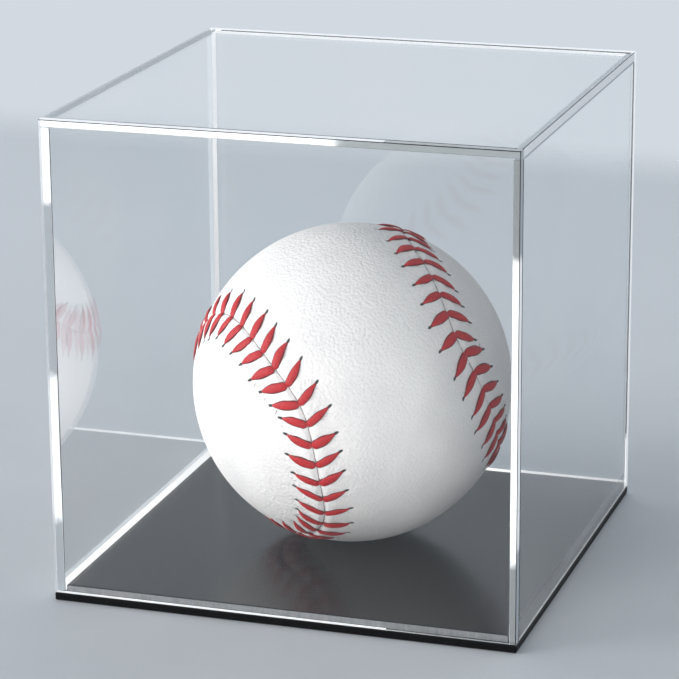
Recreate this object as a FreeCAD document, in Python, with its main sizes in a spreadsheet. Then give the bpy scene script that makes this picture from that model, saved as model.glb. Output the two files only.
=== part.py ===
"""Clear display case for one ball, as separate pieces, with the ball it holds.

The case is a black base plate with a thinner black plinth plate on it, and a
five-sided cover of clear sheet that drops over the plinth and stands on the
base. The ball lies in a small round seat in the plinth. The origin is on the
table under the middle of the case, +Z is up and -Y is the front.
"""
import FreeCAD, Part
import math
import os
import Sketcher
from BOPTools import SplitAPI

# Every driving size: alias, value (mm or degrees unless the note says), note.
SIZES = [
    ("case_width", 107, "outside of the cover and base, left to right"),
    ("case_depth", 107, "outside of the cover and base, front to back"),
    ("wall", 2, "clear sheet of the cover"),
    ("cover_height", 108.7, "outside height of the cover, without the base"),
    ("base_thickness", 1.8, "black base plate"),
    ("plinth_thickness", 1.6, "black plinth plate"),
    ("plinth_clearance", 0.3, "gap between the plinth and the cover's walls"),
    ("arris", 0.2, "broken outer edges of the sheet"),
    ("seat_radius", 3, "hole in the plinth that the ball settles in"),
    ("seat_arris", 0.3, "broken edge of that hole"),
    ("ball_radius", 36.9, "outside of the leather"),
    ("ball_clearance", 0.1, "between the ball and the edge of its seat"),
    ("leather", 1.2, "thickness of the cover leather"),
    ("layer_gap", 0.1, "kept between one ball layer and the next"),
    ("core_radius", 10.3, "cork and rubber core"),
    ("black_radius", 13.8, "outside of the two black rubber halves"),
    ("washer_thickness", 1.2, "red rubber ring between the black halves"),
    ("pill_radius", 16.7, "outside of the red rubber shell"),
    ("grey_inner_radius", 31.2, "outside of the first wool winding"),
    ("white_radius", 33.0, "outside of the second wool winding"),
    ("grey_outer_radius", 35.1, "outside of the third wool winding"),
    ("ball_yaw", 166.6, "turn of the ball about Z, last"),
    ("ball_pitch", -61.6, "turn of the ball about Y, second"),
    ("ball_roll", 136.9, "turn of the ball about X, first"),
    ("seam_margin", 0.555, "seam's least angle from the ball's poles, radians"),
    ("seam_swing", 0.383, "seam's second wave, sideways, radians"),
    ("seam_third", 0.083, "seam's third wave, up and down, radians"),
    ("stitch_count", 77, "V stitches round the seam"),
    ("stitch_slant", 66, "angle between a stitch leg and the seam"),
    ("stitch_start", 0.8, "from the point of the V to the leg's inner end"),
    ("stitch_length", 5.8, "one leg of a V"),
    ("thread_radius", 0.5, "thread of a stitch leg"),
]
ALIAS_COLUMN, VALUE_COLUMN, NOTE_COLUMN = "A", "B", "C"
SEAM_SAMPLES = 64         # points that the seam's curve passes through
SEAM_STEPS = 4000         # steps that its length is measured in
BLADE_REACH = 1.0         # how far the seam's cutting surface passes the leather
TOLERANCE = 1e-4          # for telling edges apart by their place

doc = FreeCAD.newDocument("ball_display_case")


def fill_sheet():
    """Put the driving sizes in a spreadsheet, one row and one alias each."""
    sheet = doc.addObject("Spreadsheet::Sheet", "Sizes")
    for row, (alias, value, note) in enumerate(SIZES, start=1):
        sheet.set(f"{ALIAS_COLUMN}{row}", alias)
        sheet.set(f"{VALUE_COLUMN}{row}", str(value))
        sheet.set(f"{NOTE_COLUMN}{row}", note)
        sheet.setAlias(f"{VALUE_COLUMN}{row}", alias)
    doc.recompute()
    return sheet


sheet = fill_sheet()


def size(alias):
    """The sheet's number behind an alias, for shapes that code works out."""
    return float(sheet.get(alias))


def with_sheet(expression):
    """Put the sheet's name before each alias of an expression."""
    words = expression.split()
    aliases = {alias for alias, _, _ in SIZES}
    return " ".join(f"Sizes.{word}" if word in aliases else word for word in words)


def bind(target, prop, expression):
    """Bind a property to the sheet, with the aliases written as plain words."""
    target.setExpression(prop, with_sheet(expression))


def place(target, x="0", y="0", z="0"):
    """Bind the place of a sub-part to the sheet."""
    for axis, expression in (("x", x), ("y", y), ("z", z)):
        bind(target, f"Placement.Base.{axis}", expression)


# ---------------------------------------------------------------- sheet pieces

def flat_sketch(body, name):
    """An empty sketch on the body's own XY plane."""
    sketch = body.newObject("Sketcher::SketchObject", name)
    plane = next(item for item in body.Origin.OriginFeatures if item.Role == "XY_Plane")
    sketch.AttachmentSupport = (plane, [""])
    sketch.MapMode = "FlatFace"
    return sketch


def rectangle_sketch(body, width, depth):
    """A rectangle about the body's origin, with its two sides bound."""
    sketch = flat_sketch(body, f"{body.Name}_outline")
    corners = [FreeCAD.Vector(x, y, 0) for x, y in ((-1, -1), (1, -1), (1, 1), (-1, 1))]
    for start, end in zip(corners, corners[1:] + corners[:1]):
        sketch.addGeometry(Part.LineSegment(start, end), False)
    for line in range(4):
        sketch.addConstraint(Sketcher.Constraint("Coincident", line, 2, (line + 1) % 4, 1))
    for line in (0, 2):
        sketch.addConstraint(Sketcher.Constraint("Horizontal", line))
    for line in (1, 3):
        sketch.addConstraint(Sketcher.Constraint("Vertical", line))
    sketch.addConstraint(Sketcher.Constraint("Symmetric", 0, 1, 2, 1, -1, 1))
    across = sketch.addConstraint(Sketcher.Constraint("DistanceX", 0, 1, 0, 2, 2))
    sketch.renameConstraint(across, "width")
    back = sketch.addConstraint(Sketcher.Constraint("DistanceY", 1, 1, 1, 2, 2))
    sketch.renameConstraint(back, "depth")
    bind(sketch, "Constraints.width", width)
    bind(sketch, "Constraints.depth", depth)
    return sketch


def plate(label, width, depth, height, x="0", y="0", z="0"):
    """A rectangular plate as a body: a bound sketch, padded up from z."""
    body = doc.addObject("PartDesign::Body", label)
    body.Label = label
    pad = body.newObject("PartDesign::Pad", f"{label}_pad")
    pad.Profile = rectangle_sketch(body, width, depth)
    bind(pad, "Length", height)
    body.Tip = pad
    place(body, x, y, z)
    doc.recompute()
    return body


def break_edges(body, chosen, size_alias="arris"):
    """Chamfer the edges of a body's last feature that `chosen` accepts.

    `chosen` is given an edge's two ends, in the body's own frame.
    """
    base = body.Tip
    names = []
    for number, edge in enumerate(base.Shape.Edges, start=1):
        ends = [vertex.Point for vertex in edge.Vertexes]
        if chosen(ends[0], ends[-1]):
            names.append(f"Edge{number}")
    chamfer = body.newObject("PartDesign::Chamfer", f"{body.Name}_{size_alias}")
    chamfer.Base = (base, names)
    bind(chamfer, "Size", size_alias)
    body.Tip = chamfer
    doc.recompute()


def both_at(axis, value):
    """A test for edges that lie wholly at one value along an axis."""
    def test(start, end):
        return all(abs(getattr(point, axis) - value) < TOLERANCE for point in (start, end))
    return test


def any_of(*tests):
    """A test that passes where at least one of the given tests does."""
    return lambda start, end: any(test(start, end) for test in tests)


def all_of(*tests):
    """A test that passes where all of the given tests do."""
    return lambda start, end: all(test(start, end) for test in tests)


def every_edge(start, end):
    """A test that takes every edge."""
    return True


def make_base_plate():
    """The black plate that the whole case stands on."""
    body = plate("base_plate", "case_width", "case_depth", "base_thickness")
    break_edges(body, every_edge)


def cut_seat(body):
    """Cut the ball's round seat right through the plinth's middle."""
    sketch = flat_sketch(body, "seat_outline")
    upright = FreeCAD.Vector(0, 0, 1)
    sketch.addGeometry(Part.Circle(FreeCAD.Vector(0, 0, 0), upright, 1), False)
    sketch.addConstraint(Sketcher.Constraint("Coincident", 0, 3, -1, 1))
    wide = sketch.addConstraint(Sketcher.Constraint("Radius", 0, 1))
    sketch.renameConstraint(wide, "radius")
    bind(sketch, "Constraints.radius", "seat_radius")
    before = body.Shape.Volume
    pocket = body.newObject("PartDesign::Pocket", "seat_hole")
    pocket.Profile = sketch
    pocket.Type = "ThroughAll"
    pocket.Reversed = True
    body.Tip = pocket
    doc.recompute()
    if body.Shape.Volume >= before:
        raise RuntimeError("the seat's pocket cut nothing")


def seat_rim(start, end):
    """A test for the seat's upper edge, in the plinth's own frame."""
    near_middle = math.hypot(start.x, start.y) < 2 * size("seat_radius")
    return near_middle and both_at("z", size("plinth_thickness"))(start, end)


def make_plinth_plate():
    """The thinner black plate inside the walls, with the ball's seat in it."""
    inset = "2 * wall + 2 * plinth_clearance"
    body = plate("plinth_plate", f"case_width - ( {inset} )", f"case_depth - ( {inset} )",
                 "plinth_thickness", z="base_thickness")
    break_edges(body, both_at("z", size("plinth_thickness")))
    cut_seat(body)
    break_edges(body, seat_rim, "seat_arris")


def make_front_and_back():
    """The two full panels, which cover the ends of the others."""
    for label, side in (("front_panel", -1), ("back_panel", 1)):
        body = plate(label, "case_width", "wall", "cover_height",
                     y=f"{side} * ( case_depth - wall ) / 2", z="base_thickness")
        break_edges(body, both_at("y", side * size("wall") / 2))


def make_left_and_right():
    """The two side panels, between the front and the back, under the top."""
    for label, side in (("left_panel", -1), ("right_panel", 1)):
        body = plate(label, "wall", "case_depth - 2 * wall", "cover_height - wall",
                     x=f"{side} * ( case_width - wall ) / 2", z="base_thickness")
        outer_face = both_at("x", side * size("wall") / 2)
        break_edges(body, all_of(outer_face, both_at("z", 0)))


def make_top_panel():
    """The lid panel, which lies on the side panels' top edges."""
    body = plate("top_panel", "case_width", "case_depth - 2 * wall", "wall",
                 z="base_thickness + cover_height - wall")
    half_width = size("case_width") / 2
    sides = any_of(both_at("x", -half_width), both_at("x", half_width))
    break_edges(body, all_of(sides, both_at("z", size("wall"))))


# ----------------------------------------------------------------- ball layers

def ball_centre():
    """The ball's middle when it rests on the broken edge of its seat."""
    contact = size("seat_radius") + size("seat_arris")
    rise = math.sqrt(size("ball_radius") ** 2 - contact ** 2)
    floor = size("base_thickness") + size("plinth_thickness")
    return FreeCAD.Vector(0, 0, floor + rise + size("ball_clearance"))


def ball_placement():
    """The ball's place and turn, shared by all that belongs to the ball."""
    turn = FreeCAD.Rotation(size("ball_yaw"), size("ball_pitch"), size("ball_roll"))
    return FreeCAD.Placement(ball_centre(), turn)


BALL_HEIGHT = ("base_thickness + plinth_thickness + ball_clearance"
               " + sqrt( ball_radius ^ 2 - ( seat_radius + seat_arris ) ^ 2 )")


def sphere(name, radius):
    """A sphere about the ball's own middle."""
    solid = doc.addObject("Part::Sphere", name)
    bind(solid, "Radius", radius)
    return solid


def hollow(name, outer, inner):
    """What is between two spheres."""
    layer = doc.addObject("Part::Cut", name)
    layer.Base = sphere(f"{name}_outside", outer)
    layer.Tool = sphere(f"{name}_hollow", inner)
    return layer


def finish_layer(layer, label):
    """Give a ball layer its name and its place in the case."""
    layer.Label = label
    place(layer, z=BALL_HEIGHT)
    return layer


def make_core():
    """The cork and rubber core."""
    finish_layer(sphere("ball_cork_core", "core_radius"), "ball_cork_core")


def slab(name, height, bottom):
    """A square block wider than the ball's pill, to cut its layers with."""
    block = doc.addObject("Part::Box", name)
    for side in ("Length", "Width"):
        bind(block, side, "2 * pill_radius")
    bind(block, "Height", height)
    place(block, x="- pill_radius", y="- pill_radius", z=bottom)
    return block


def make_black_rubber():
    """Two black rubber halves and the red washer that lies between them."""
    pieces = [
        ("ball_rubber_half_upper", "pill_radius", "washer_thickness / 2"),
        ("ball_rubber_half_lower", "pill_radius", "- pill_radius - washer_thickness / 2"),
        ("ball_rubber_washer", "washer_thickness", "- washer_thickness / 2"),
    ]
    for label, height, bottom in pieces:
        piece = doc.addObject("Part::Common", label)
        piece.Base = hollow(f"{label}_layer", "black_radius", "core_radius + layer_gap")
        piece.Tool = slab(f"{label}_slab", height, bottom)
        finish_layer(piece, label)


def make_wound_layers():
    """The red rubber shell and the four windings, each round the one before."""
    layers = [
        ("ball_rubber_shell", "pill_radius", "black_radius"),
        ("ball_winding_grey_inner", "grey_inner_radius", "pill_radius"),
        ("ball_winding_white", "white_radius", "grey_inner_radius"),
        ("ball_winding_grey_outer", "grey_outer_radius", "white_radius"),
        ("ball_winding_cotton", "ball_radius - leather - layer_gap", "grey_outer_radius"),
    ]
    for label, outer, below in layers:
        finish_layer(hollow(label, outer, f"{below} + layer_gap"), label)


# ---------------------------------------------------------- leather and stitches

def seam_direction(turn):
    """The seam's direction from the ball's middle, for turn from 0 to 4 pi.

    It is the figure-eight line between the two leathers: it goes round the
    ball once while it swings up and down twice.
    """
    third = size("seam_third")
    swing_up = math.pi / 2 - size("seam_margin") - third
    polar = math.pi / 2 - swing_up * math.cos(turn) - third * math.cos(3 * turn)
    around = turn / 2 + size("seam_swing") * math.sin(2 * turn)
    return FreeCAD.Vector(math.sin(polar) * math.cos(around),
                          math.sin(polar) * math.sin(around),
                          math.cos(polar))


def seam_edge(radius):
    """The seam as one closed smooth edge at a radius."""
    turns = [4 * math.pi * step / SEAM_SAMPLES for step in range(SEAM_SAMPLES)]
    curve = Part.BSplineCurve()
    curve.interpolate([seam_direction(turn) * radius for turn in turns], True)
    return curve.toShape()


def feature(label, shape):
    """A sub-part whose shape is worked out in code, placed with the ball."""
    item = doc.addObject("Part::Feature", label)
    item.Label = label
    item.Shape = shape
    item.Placement = ball_placement()
    return item


def make_covers():
    """The two figure-eight leathers: a spherical shell cut along the seam."""
    outer = size("ball_radius")
    inner = outer - size("leather")
    shell = Part.makeSphere(outer).cut(Part.makeSphere(inner))
    blade = Part.makeRuledSurface(seam_edge(inner - BLADE_REACH), seam_edge(outer + BLADE_REACH))
    halves = SplitAPI.slice(shell, [blade], "Split").Solids
    if len(halves) != 2:
        raise RuntimeError(f"the seam cut the leather into {len(halves)} pieces")
    print("leather volumes", [round(half.Volume, 1) for half in halves])
    for label, half in zip(("ball_cover_a", "ball_cover_b"), halves):
        feature(label, half)


def stitch_turns():
    """The seam's turn at each stitch, evenly spaced along its length."""
    radius = size("ball_radius")
    step = 4 * math.pi / SEAM_STEPS
    lengths = [0.0]
    for number in range(SEAM_STEPS):
        chord = seam_direction((number + 1) * step) - seam_direction(number * step)
        lengths.append(lengths[-1] + chord.Length * radius)
    count = int(size("stitch_count"))
    print("seam length", round(lengths[-1], 1), "stitch pitch", round(lengths[-1] / count, 2))
    turns = []
    number = 0
    for stitch in range(count):
        while lengths[number] < lengths[-1] * stitch / count:
            number += 1
        turns.append(number * step)
    return turns


def stitch_leg(turn, side):
    """One leg of a V: a straight thread that lies on the leather."""
    at = seam_direction(turn)
    along = seam_direction(turn + 4 * math.pi / SEAM_STEPS) - at
    along.normalize()
    across = at.cross(along) * side
    slant = math.radians(size("stitch_slant"))
    out = along * math.cos(slant) + across * math.sin(slant)
    middle = size("stitch_start") + size("stitch_length") / 2
    bend = middle / size("ball_radius")
    normal = at * math.cos(bend) + out * math.sin(bend)
    lie = out * math.cos(bend) - at * math.sin(bend)
    centre = normal * (size("ball_radius") + size("thread_radius"))
    start = centre - lie * (size("stitch_length") / 2)
    return Part.makeCylinder(size("thread_radius"), size("stitch_length"), start, lie)


def make_stitches():
    """All the legs of thread, as one group of separate solids."""
    legs = [stitch_leg(turn, side) for turn in stitch_turns() for side in (-1, 1)]
    feature("ball_stitches", Part.makeCompound(legs))


# ---------------------------------------------------------------- make and write

NODES = [
    "base_plate", "plinth_plate",
    "front_panel", "back_panel", "left_panel", "right_panel", "top_panel",
    "ball_cork_core", "ball_rubber_half_lower", "ball_rubber_half_upper",
    "ball_rubber_washer", "ball_rubber_shell", "ball_winding_grey_inner",
    "ball_winding_white", "ball_winding_grey_outer", "ball_winding_cotton",
    "ball_cover_a", "ball_cover_b", "ball_stitches",
]


def check_document():
    """Stop if any object failed, because recompute doesn't raise."""
    for item in doc.Objects:
        if {"Invalid", "Error"} & set(item.State):
            raise RuntimeError(f"{item.Label} failed: {item.State}")


def write_nodes():
    """Write each sub-part to its own STEP file, after its shape is checked."""
    os.makedirs("parts", exist_ok=True)
    for label in NODES:
        shape = doc.getObjectsByLabel(label)[0].Shape
        if shape.isNull() or not shape.isValid():
            raise RuntimeError(f"{label} has no valid shape")
        shape.exportStep(f"parts/{label}.step")
        print(f"{label}: {len(shape.Solids)} solids, {shape.Volume:.1f} mm3")


make_base_plate()
make_plinth_plate()
make_front_and_back()
make_left_and_right()
make_top_panel()
make_core()
make_black_rubber()
make_wound_layers()
make_covers()
make_stitches()
doc.recompute()
check_document()
write_nodes()
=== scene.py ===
# %% [markdown]
# # A clear display case with a ball in it
# The case is five sheets of clear acrylic cemented into a cover, which drops
# over a black base. It holds one leather ball with red stitches.
# The first step is always the frame: the measured solids, which say where
# every piece goes. All lengths in this lesson are in metres, and MM turns a
# size in millimetres into metres.

# %% Load the frame
import math
import random

import bpy
import numpy as np
from mathutils import Matrix, Vector, kdtree


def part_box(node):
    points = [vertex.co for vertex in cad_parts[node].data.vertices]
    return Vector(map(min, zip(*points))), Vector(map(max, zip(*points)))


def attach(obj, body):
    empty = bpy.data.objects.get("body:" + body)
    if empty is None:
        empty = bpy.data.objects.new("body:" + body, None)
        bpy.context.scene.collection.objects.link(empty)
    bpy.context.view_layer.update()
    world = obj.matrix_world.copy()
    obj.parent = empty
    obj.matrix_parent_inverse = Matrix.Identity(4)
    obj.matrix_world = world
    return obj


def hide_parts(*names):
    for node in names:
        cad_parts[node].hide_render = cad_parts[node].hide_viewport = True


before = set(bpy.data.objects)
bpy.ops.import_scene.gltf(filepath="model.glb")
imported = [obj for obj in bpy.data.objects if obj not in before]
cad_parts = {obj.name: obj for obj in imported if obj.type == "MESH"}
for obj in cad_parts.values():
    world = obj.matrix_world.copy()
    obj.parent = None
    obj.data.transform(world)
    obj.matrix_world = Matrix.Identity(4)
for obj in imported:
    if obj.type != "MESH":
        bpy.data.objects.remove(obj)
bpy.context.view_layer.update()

MM = 0.001

# %% [markdown]
# ## Camera
# A long lens from a little above and to the right keeps the case's uprights
# nearly parallel. The camera is turned by three plain angles: the way it
# heads, how far it looks down, and a slight tilt of the horizon.

# %% Camera
CAMERA_EYE = Vector((206.1, -640.3, 253.5)) * MM
CAMERA_HEADING, CAMERA_PITCH, CAMERA_TILT = 18.11, -16.81, -0.43
CAMERA_LENS = 161.4

bpy.ops.object.camera_add(location=CAMERA_EYE)
camera = bpy.context.object
turn = (Matrix.Rotation(math.radians(CAMERA_HEADING), 4, "Z")
        @ Matrix.Rotation(math.radians(90 + CAMERA_PITCH), 4, "X")
        @ Matrix.Rotation(math.radians(CAMERA_TILT), 4, "Z"))
camera.rotation_euler = turn.to_euler()
camera.data.lens = CAMERA_LENS
camera.data.sensor_width = 36
camera.data.clip_start = 0.01
camera.data.clip_end = 20
bpy.context.scene.camera = camera
print("camera at", [round(value, 3) for value in camera.location])

# %% [markdown]
# ## Small helpers
# Colours are written as the hex values a paint program shows, and turned to
# the linear numbers that light adds up in. One function adds a node to a
# material with its settings and its links, so that a material reads as a list.

# %% Colours and nodes
WHITE = "#FFFFFF"


def linear(hex_colour):
    """The linear colour behind an sRGB hex value."""
    channels = [int(hex_colour[place:place + 2], 16) / 255 for place in (1, 3, 5)]
    return [c / 12.92 if c <= 0.04045 else ((c + 0.055) / 1.055) ** 2.4
            for c in channels] + [1.0]


def add_node(material, kind, settings=None, **inputs):
    """Add a node. Settings are its own fields; inputs are sockets, by name.

    An input is a value, or an output socket of another node to link from.
    A socket's name is written with _ for each space.
    """
    node = material.node_tree.nodes.new(kind)
    for name, value in (settings or {}).items():
        setattr(node, name, value)
    for name, value in inputs.items():
        socket = find_socket(node, name)
        if isinstance(value, bpy.types.NodeSocket):
            material.node_tree.links.new(value, socket)
        else:
            socket.default_value = value
    return node


def find_socket(node, name):
    """A node's input, by its name, or by its number as in_1."""
    if name.startswith("in_"):
        return node.inputs[int(name[3:])]
    return node.inputs[name.replace("_", " ")]


def new_material(name):
    """An empty node material and its output node."""
    material = bpy.data.materials.new(name)
    material.use_nodes = True
    material.node_tree.nodes.clear()
    return material


def surface(material, **inputs):
    """Give a material its Principled shader and join it to the output."""
    shader = add_node(material, "ShaderNodeBsdfPrincipled", **inputs)
    output = material.node_tree.nodes.new("ShaderNodeOutputMaterial")
    material.node_tree.links.new(shader.outputs["BSDF"], output.inputs["Surface"])
    return material


def place_on(material, scale=(1, 1, 1), location=(0, 0, 0), turned=(0, 0, 0)):
    """The piece's own coordinates, in millimetres, centred, turned or scaled."""
    coordinates = add_node(material, "ShaderNodeTexCoord")
    mapping = add_node(material, "ShaderNodeMapping", Vector=coordinates.outputs["Object"],
                       Location=location, Rotation=turned,
                       Scale=[side / MM for side in scale])
    return mapping.outputs["Vector"]


def ramp(material, factor, *stops):
    """A colour ramp from (place, hex colour) stops."""
    node = add_node(material, "ShaderNodeValToRGB", Fac=factor)
    elements = node.color_ramp.elements
    while len(elements) < len(stops):
        elements.new(0.5)
    for element, (position, colour) in zip(elements, stops):
        element.position = position
        element.color = linear(colour)
    return node.outputs["Color"]


def between(material, value, low, high, new_low=0.0, new_high=1.0):
    """Turn one range of a value into another, smoothly and clamped."""
    node = add_node(material, "ShaderNodeMapRange", {"interpolation_type": "SMOOTHSTEP"},
                    Value=value, From_Min=low, From_Max=high, To_Min=new_low, To_Max=new_high)
    return node.outputs["Result"]


def maths(material, operation, *values):
    """One arithmetic node, whose inputs are numbers or sockets."""
    inputs = {f"in_{number}": value for number, value in enumerate(values)}
    return add_node(material, "ShaderNodeMath", {"operation": operation}, **inputs).outputs["Value"]


print("colour and node helpers ready")

# %% [markdown]
# ## Helpers for textures
# Nearly every material is made of a noise, a bump and a mix of two colours.
# Each of these is one line with the helpers below.

# %% Textures


def noise(material, where, scale, detail, roughness=0.5):
    """The grey value of a noise; a greater scale makes it finer."""
    node = add_node(material, "ShaderNodeTexNoise", Vector=where, Scale=scale,
                    Detail=detail, Roughness=roughness)
    return node.outputs["Fac"]


def bump(material, height, strength, distance, inverted=False):
    """A normal from a height, for relief too fine to model."""
    node = add_node(material, "ShaderNodeBump", {"invert": inverted}, Height=height,
                    Strength=strength, Distance=distance)
    return node.outputs["Normal"]


def mix(material, factor, first, second):
    """One colour turned into another; each is a socket or a hex value."""
    first, second = [linear(colour) if isinstance(colour, str) else colour
                     for colour in (first, second)]
    node = add_node(material, "ShaderNodeMix", {"data_type": "RGBA"},
                    Factor=factor, A=first, B=second)
    return node.outputs["Result"]


def vector_maths(material, operation, *values):
    """One vector arithmetic node, whose inputs are vectors or sockets."""
    inputs = {f"in_{number}": value for number, value in enumerate(values)}
    return add_node(material, "ShaderNodeVectorMath", {"operation": operation}, **inputs)


def split(material, vector):
    """The X, Y and Z outputs of a vector."""
    return add_node(material, "ShaderNodeSeparateXYZ", Vector=vector).outputs


def mark_on(material, name):
    """A vector that the mesh stores at each corner under a name."""
    node = add_node(material, "ShaderNodeAttribute", {"attribute_name": name})
    return node.outputs["Vector"]


print("texture helpers ready")

# %% [markdown]
# ## Floor
# The case stands on a pale matt board. It is painted a little lighter towards
# the back, painted light that stands in for the light falling there, and its
# far edge fades into the light behind it, which is the soft line seen behind
# the case. It could be a curved sweep of paper; a flat board with a faded edge
# and painted light is simpler and looks the same.

# %% Floor
FLOOR_HALF = 0.425
FLOOR_FADE = 0.065
FLOOR_DROP = 0.05 * MM    # keeps the floor from sharing a plane with the base
LIGHTER_FROM, LIGHTER_TO, LIGHTER_BY = -40, 280, 0.7    # places along Y in mm, and how far


def floor_material():
    """Matt paper board: a cool light grey with a hardly seen mottle, and painted light towards the
    back.
    """
    material = new_material("matt_grey_blue_paper_board")
    where = place_on(material)
    mottle = noise(material, where, 0.02, 4)
    tooth = noise(material, where, 1.4, 2)
    x, y, _ = split(material, where)
    reach = maths(material, "MAXIMUM", maths(material, "ABSOLUTE", x),
                  maths(material, "ABSOLUTE", y))
    shown = between(material, reach, (FLOOR_HALF - FLOOR_FADE) / MM, FLOOR_HALF / MM, 1, 0)
    board = ramp(material, mottle, (0.3, "#CBCED1"), (0.7, "#D0D3D6"))
    # painted light: the board turns lighter towards the back
    painted_light_to_back = between(material, y, LIGHTER_FROM, LIGHTER_TO, 0, LIGHTER_BY)
    return surface(material, Base_Color=mix(material, painted_light_to_back, board, "#E6E9EC"),
                   Alpha=shown, Roughness=0.65, Specular_IOR_Level=0.25,
                   Normal=bump(material, tooth, 0.06, 0.1 * MM))


bpy.ops.mesh.primitive_plane_add(size=2 * FLOOR_HALF, location=(0, 0, -FLOOR_DROP))
floor = bpy.context.object
floor.name = "floor"
floor.data.materials.append(floor_material())
print("floor is", 2 * FLOOR_HALF, "m square")

# %% [markdown]
# ## Light
# A big soft box low on the left lights the ball from the side, and a small
# one on the right fills its shaded underside. All round them is an even glow
# that is brighter behind the case, since what lies there shows through it.

# %% Light
scene = bpy.context.scene
scene.view_settings.view_transform = "Standard"
scene.view_settings.look = "None"

world = bpy.data.worlds.new("soft_studio")
scene.world = world
world.use_nodes = True
GLOW_COLOUR = "#D2D9E1"
BRIGHT_WAY = (-0.45, 0.85, 0.28)    # the lit wall is behind the case, to the left
GLOW_LEAST, GLOW_MOST = 0.6, 1.0
glow = world.node_tree.nodes["Background"]
glow.inputs["Color"].default_value = linear(GLOW_COLOUR)
direction = add_node(world, "ShaderNodeTexCoord").outputs["Object"]
facing = vector_maths(world, "DOT_PRODUCT", direction, BRIGHT_WAY).outputs["Value"]
level = between(world, facing, -0.5, 0.6, GLOW_LEAST, GLOW_MOST)
world.node_tree.links.new(level, glow.inputs["Strength"])
world.cycles.sampling_method = "NONE"


def soft_box(name, place, size, power, aim=(0, 0, 0.05)):
    """An area light at a place, turned to face the case."""
    bpy.ops.object.light_add(type="AREA", location=place)
    light = bpy.context.object
    light.name = name
    light.rotation_euler = (Vector(aim) - Vector(place)).to_track_quat("-Z", "Y").to_euler()
    light.data.shape = "RECTANGLE"
    light.data.size, light.data.size_y = size
    light.data.energy = power
    light.visible_transmission = False
    return light


soft_box("key_box", place=(-1.15, -0.64, 0.32), size=(0.8, 0.6), power=13.2)
soft_box("fill_box", place=(0.65, -1.1, 0.04), size=(0.7, 0.2), power=3.9)

# %% [markdown]
# ## How light passes the clear sheet
# Light bounces many times inside a sheet before it leaves at an edge, so the
# number of bounces is raised. A lamp can't be aimed at through clear sheet,
# so the near sheets cast no shadow and the lamps are not found again by
# light that wandered through a sheet: each lamp counts once. The even glow
# all round is only ever met by wandering light, so it counts once too.

# %% Bounces
scene.cycles.max_bounces = 32
scene.cycles.transmission_bounces = 28
scene.cycles.glossy_bounces = 16
scene.cycles.transparent_max_bounces = 16
print("bounces:", scene.cycles.max_bounces)

# %% [markdown]
# ## Clear acrylic
# Cast acrylic sheet is clear like glass but bends light a little less, with
# an IOR of 1.49. Its faces are as cast, with a long and very low ripple. Its
# edges are of several kinds: polished ones as clear as the faces, buffed ones
# with a bloom, sawn lower edges that stay frosted, and cemented ones inside
# the joints. The buffed and sawn edges carry a painted glow, the joints carry
# painted highlights drawn as milky cement, and some arrises are painted dark as
# a painted reflection. One sheet could carry a single material with masks; a
# material for each finish, given face by face, is easier to read and to change.

# %% Clear acrylic materials
ACRYLIC_IOR = 1.49
MATCHED_IOR = 1.0         # for a film inside a joint, which bends no light


def clear_acrylic():
    """Cast acrylic sheet: polished, with a faint ripple and a few hairlines."""
    material = new_material("cast_clear_acrylic_polished")
    ripple = noise(material, place_on(material), 0.03, 1, 0.4)
    hairlines = noise(material, place_on(material, scale=(1, 1, 0.05)), 0.8, 3)
    return surface(material, Base_Color=ramp(material, ripple, (0.3, "#FBFDFD"), (0.7, WHITE)),
                   Roughness=between(material, hairlines, 0.55, 0.8, 0.0, 0.03),
                   IOR=ACRYLIC_IOR, Transmission_Weight=1.0,
                   Normal=bump(material, ripple, 0.05, 0.3 * MM))


def saw_marks(material, axis_scale, height):
    """Fine parallel lines left by a blade, as a grey value and a normal."""
    lines = noise(material, place_on(material, scale=axis_scale), 1.0, 3, 0.6)
    return lines, bump(material, lines, 0.5, height)


def frosted_acrylic(name, dark, light, glow):
    """A sawn edge, or a band, frosted, with a painted glow that stands in for light the sheet
    carries to it.
    """
    material = new_material(name)
    lines, normal = saw_marks(material, (3, 3, 0.3), 0.05 * MM)
    return surface(material, Base_Color=ramp(material, lines, (0.3, dark), (0.7, light)),
                   Roughness=0.5, IOR=ACRYLIC_IOR, Normal=normal,
                   Emission_Color=linear(WHITE), Emission_Strength=glow)


def painted_dark_arris():
    """A polished arris, painted dark: a painted reflection of the unlit side of the room."""
    material = new_material("clear_acrylic_arris_line")
    wander = noise(material, place_on(material), 0.08, 2)
    tint = ramp(material, wander, (0.35, "#14171B"), (0.65, "#2A2F36"))
    return surface(material, Base_Color=tint, Roughness=0.25, IOR=ACRYLIC_IOR,
                   Specular_IOR_Level=0.12)


def rubbed_foot():
    """The foot of a wall, rubbed by the base each time the cover goes on."""
    material = new_material("rubbed_clear_acrylic_foot")
    rub, normal = saw_marks(material, (0.3, 0.3, 3), 0.02 * MM)
    return surface(material, Base_Color=ramp(material, rub, (0.3, "#DADEE0"), (0.7, "#F4F6F7")),
                   Roughness=0.5, IOR=MATCHED_IOR, Normal=normal, Transmission_Weight=0.6)


def wetted_joint():
    """A joint where the cement took: optically there is nothing there."""
    material = new_material("cemented_joint_clear")
    haze = noise(material, place_on(material), 0.6, 3)
    tint = ramp(material, haze, (0.3, "#FAFCFC"), (0.7, WHITE))
    return surface(material, Base_Color=tint, Roughness=0.0, IOR=MATCHED_IOR,
                   Transmission_Weight=1.0)


# %% [markdown]
# ## Painted highlights in the joints
# The joints carry white stretches that are painted highlights, drawn as
# milky cement with a faint painted glow. Where each starts and stops is
# given in millimetres along the joint. The joint's other stretches are
# clear, or an even grey that is painted shade.

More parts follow.
